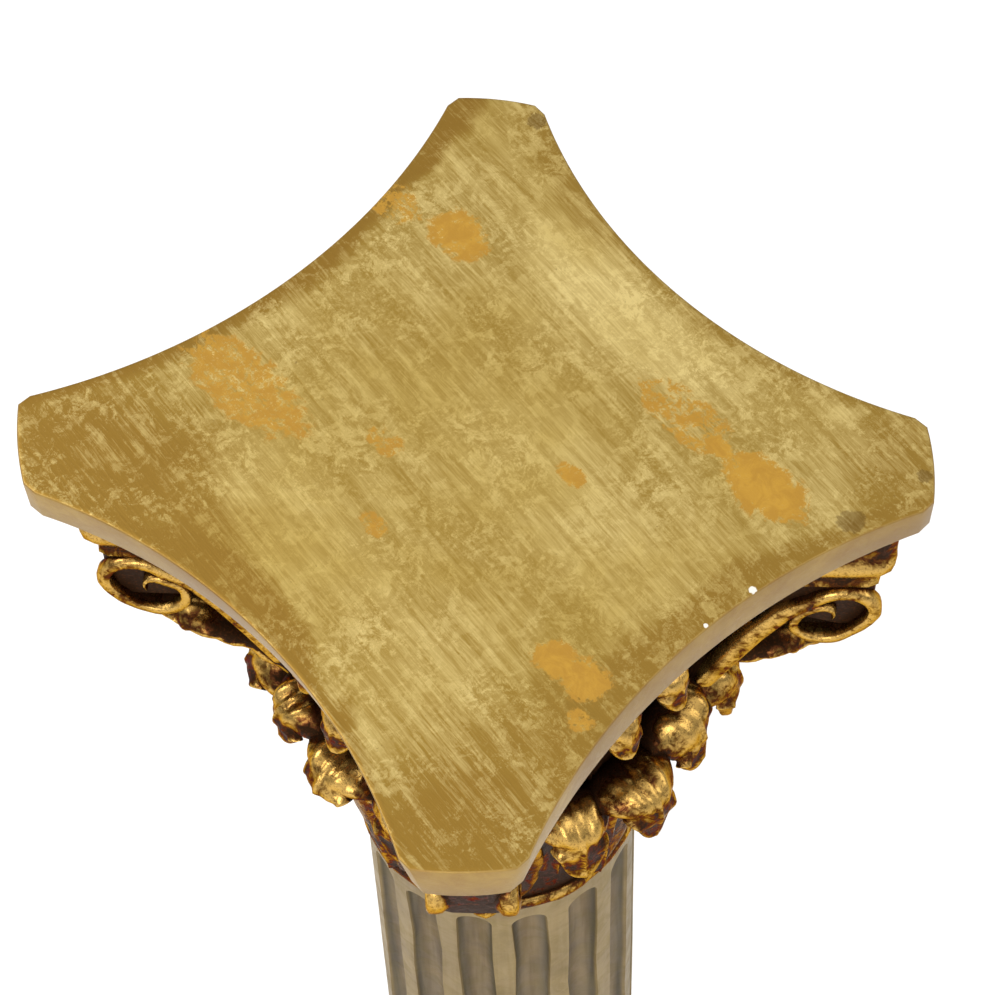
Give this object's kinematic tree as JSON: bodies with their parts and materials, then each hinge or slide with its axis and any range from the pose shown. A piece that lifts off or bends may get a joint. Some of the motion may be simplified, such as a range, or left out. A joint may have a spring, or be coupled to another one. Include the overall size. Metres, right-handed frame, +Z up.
{
  "type": "baroque column",
  "caption": "Free-standing fluted column with a gilded Corinthian capital, a concave-sided top board, a turned base and a square plinth.",
  "frame": {"origin": "centre of the plinth's underside, on the floor under the shaft's axis", "axes": "+Z up along the shaft's axis; X and Y square to the plinth's sides, with the top board's horns on the diagonals between them"},
  "size_m": [0.3029, 0.2939, 1.05],
  "materials": {
    "board_gilding": "burnished gold leaf over ochre bole, worn in patches and brushed in straight streaks, on gessoed wood",
    "carved_gilding": "gold leaf over red-brown bole on carved wood, bright on the high parts and dark brown in the hollows",
    "shaft_paint": "aged grey-green and beige paint with traces of gilding, satin, darker in the flutes",
    "base_gilding": "gold leaf over red-brown bole on turned wood, rubbed on the rounds and dark in the hollow",
    "plinth_gilding": "gold leaf over ochre bole on gessoed wood, rubbed along the edges"
  },
  "bodies": {
    "root": {"top_board": "board_gilding", "capital": "carved_gilding", "fluted_shaft": "shaft_paint", "turned_base": "base_gilding", "plinth": "plinth_gilding"}
  },
  "joints": []
}
